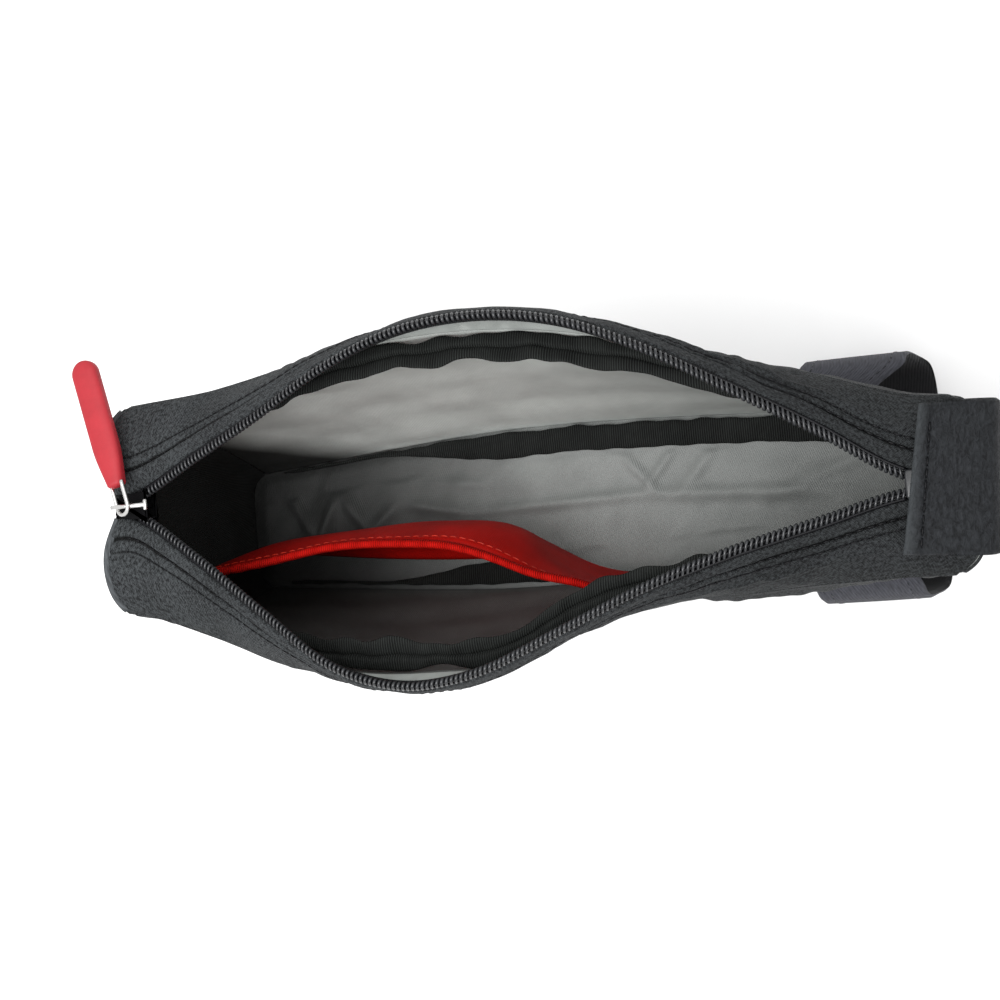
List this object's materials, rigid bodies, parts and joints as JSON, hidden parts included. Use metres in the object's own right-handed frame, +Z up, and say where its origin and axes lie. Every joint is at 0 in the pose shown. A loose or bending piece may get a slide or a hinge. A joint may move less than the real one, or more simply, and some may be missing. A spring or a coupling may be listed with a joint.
{
  "type": "bicycle frame bag",
  "caption": "Soft top-tube frame bag, unzipped and spread open, with a slip pocket inside, a coil zip with a rubber pull, a rear tab and two straps that go round the tube.",
  "frame": {"origin": "middle of the base's underside, where the bag sits on the top tube", "axes": "+X rearward along the tube, +Y to the rider's right, +Z up"},
  "size_m": [0.2339, 0.0933, 0.1601],
  "materials": {
    "outer_cloth": "near-black speckled woven cloth, light grey coated lining inside",
    "webbing": "black ribbed tape",
    "coil": "black nylon coil with a soft shine",
    "pocket_cloth": "bright red woven cloth",
    "brushed_cloth": "soft brushed charcoal cloth",
    "nickel": "bright nickel",
    "pull_rubber": "matte red rubber"
  },
  "bodies": {
    "bag": {"side_panel_right": "outer_cloth", "side_panel_left": "outer_cloth", "front_panel": "outer_cloth", "rear_panel": "outer_cloth", "bottom_panel": "outer_cloth", "top_gusset_right": "outer_cloth", "top_gusset_left": "outer_cloth", "zip_tape_right": "webbing", "zip_tape_left": "webbing", "zip_coil_right": "coil", "zip_coil_left": "coil", "zip_stop": "coil", "top_binding_right": "webbing", "top_binding_left": "webbing", "base_binding_right": "webbing", "base_binding_left": "webbing", "pocket_panel": "pocket_cloth", "pocket_binding": "pocket_cloth", "rear_tab": "brushed_cloth", "rear_strap": "webbing", "front_strap": "webbing", "slider_body": "nickel"},
    "pull": {"pull_loop": "nickel", "pull_grip": "pull_rubber"}
  },
  "joints": [
    {"name": "pull_swing", "type": "hinge", "parent": "bag", "child": "pull", "pos_m": [-0.098, 0.008, 0.0868], "axis": [1, 0, 0], "range_deg": [-4, 165]}
  ]
}
